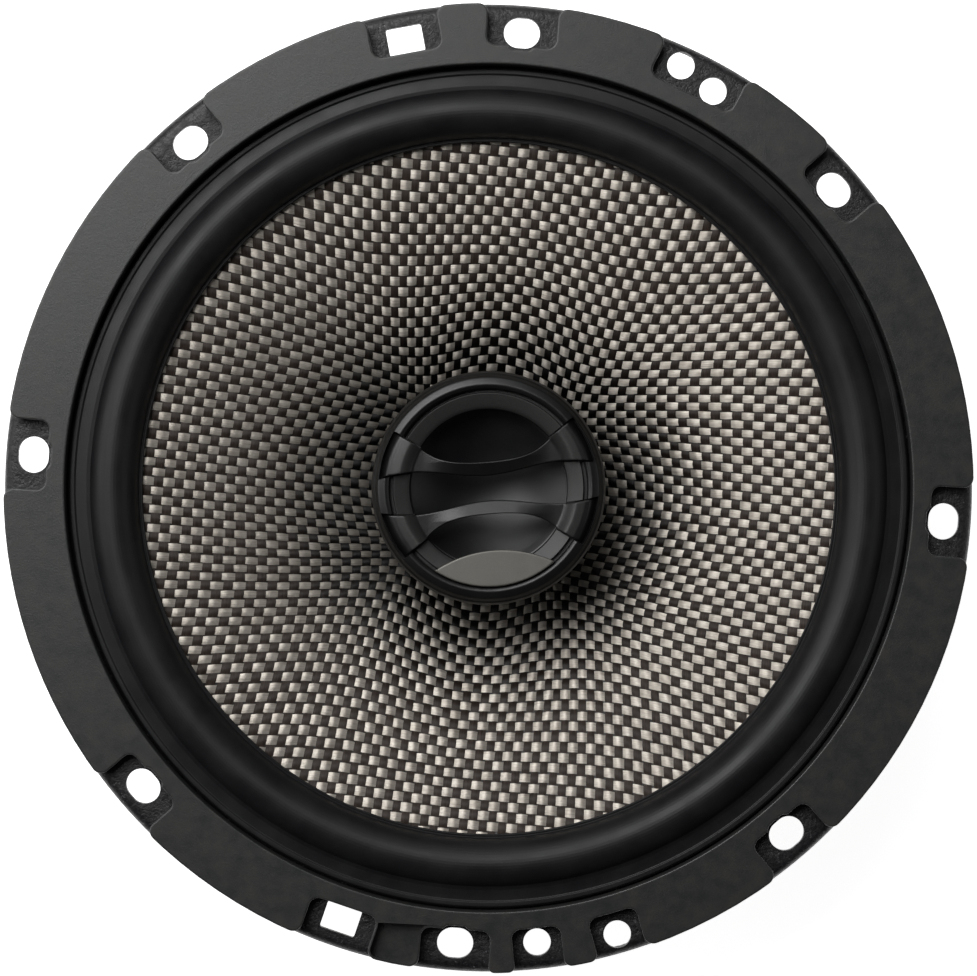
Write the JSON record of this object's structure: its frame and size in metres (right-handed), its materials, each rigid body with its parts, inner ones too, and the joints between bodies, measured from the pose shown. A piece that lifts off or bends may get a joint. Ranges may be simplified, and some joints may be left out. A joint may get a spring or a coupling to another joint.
{
  "type": "coaxial car speaker",
  "caption": "Round coaxial car speaker: woven cone in a rubber surround, tweeter with a barred grille on a centre post, pressed basket with a slotted flange, and a ring magnet.",
  "frame": {"origin": "centre of the magnet's back face, on the speaker's axis", "axes": "+Z along the axis, out of the front; +Y towards the flange slot that the picture shows uppermost"},
  "size_m": [0.165, 0.165, 0.0657],
  "materials": {
    "plated_steel": "satin",
    "black_paint": "satin",
    "ferrite": "matte",
    "gasket_rubber": "matte",
    "surround_rubber": "satin",
    "woven_glass": "satin",
    "spider_cloth": "matte",
    "coil_former": "satin",
    "copper_wire": "gloss",
    "terminal_board": "matte",
    "tinned_brass": "satin",
    "capacitor_sleeve": "gloss",
    "tweeter_plastic": "satin",
    "nickel": "polished",
    "dome_silk": "satin",
    "badge_silver": "satin"
  },
  "bodies": {
    "frame": {"basket": "black_paint", "front_gasket": "gasket_rubber", "surround": "surround_rubber", "spider": "spider_cloth", "top_plate": "plated_steel", "ferrite_magnet": "ferrite", "t_yoke": "plated_steel", "basket_rivet_1": "plated_steel", "basket_rivet_2": "plated_steel", "basket_rivet_3": "plated_steel", "basket_rivet_4": "plated_steel", "terminal_board": "terminal_board", "terminal_positive": "tinned_brass", "terminal_negative": "tinned_brass", "terminal_rivet_1": "plated_steel", "terminal_rivet_2": "plated_steel", "crossover_capacitor": "capacitor_sleeve", "tweeter_post": "tweeter_plastic", "tweeter_bolt": "plated_steel", "tweeter_washer": "plated_steel", "tweeter_housing": "tweeter_plastic", "tweeter_grille": "tweeter_plastic", "tweeter_badge": "badge_silver", "tweeter_yoke_cup": "plated_steel", "tweeter_magnet": "nickel", "tweeter_top_plate": "plated_steel", "tweeter_surround": "dome_silk"},
    "cone_assembly": {"cone": "woven_glass", "voice_coil_former": "coil_former", "voice_coil_winding": "copper_wire"},
    "tweeter_dome_assembly": {"tweeter_dome": "dome_silk", "tweeter_coil_former": "coil_former", "tweeter_coil_winding": "copper_wire"}
  },
  "joints": [
    {"name": "cone_travel", "type": "slide", "parent": "frame", "child": "cone_assembly", "axis": [0, 0, 1], "range_m": [-0.004, 0.004], "stiffness_N_per_m": 3000, "deforming": ["surround", "spider"]},
    {"name": "tweeter_dome_travel", "type": "slide", "parent": "frame", "child": "tweeter_dome_assembly", "axis": [0, 0, 1], "range_m": [-0.00025, 0.00025], "stiffness_N_per_m": 8000, "deforming": ["tweeter_surround"]}
  ]
}
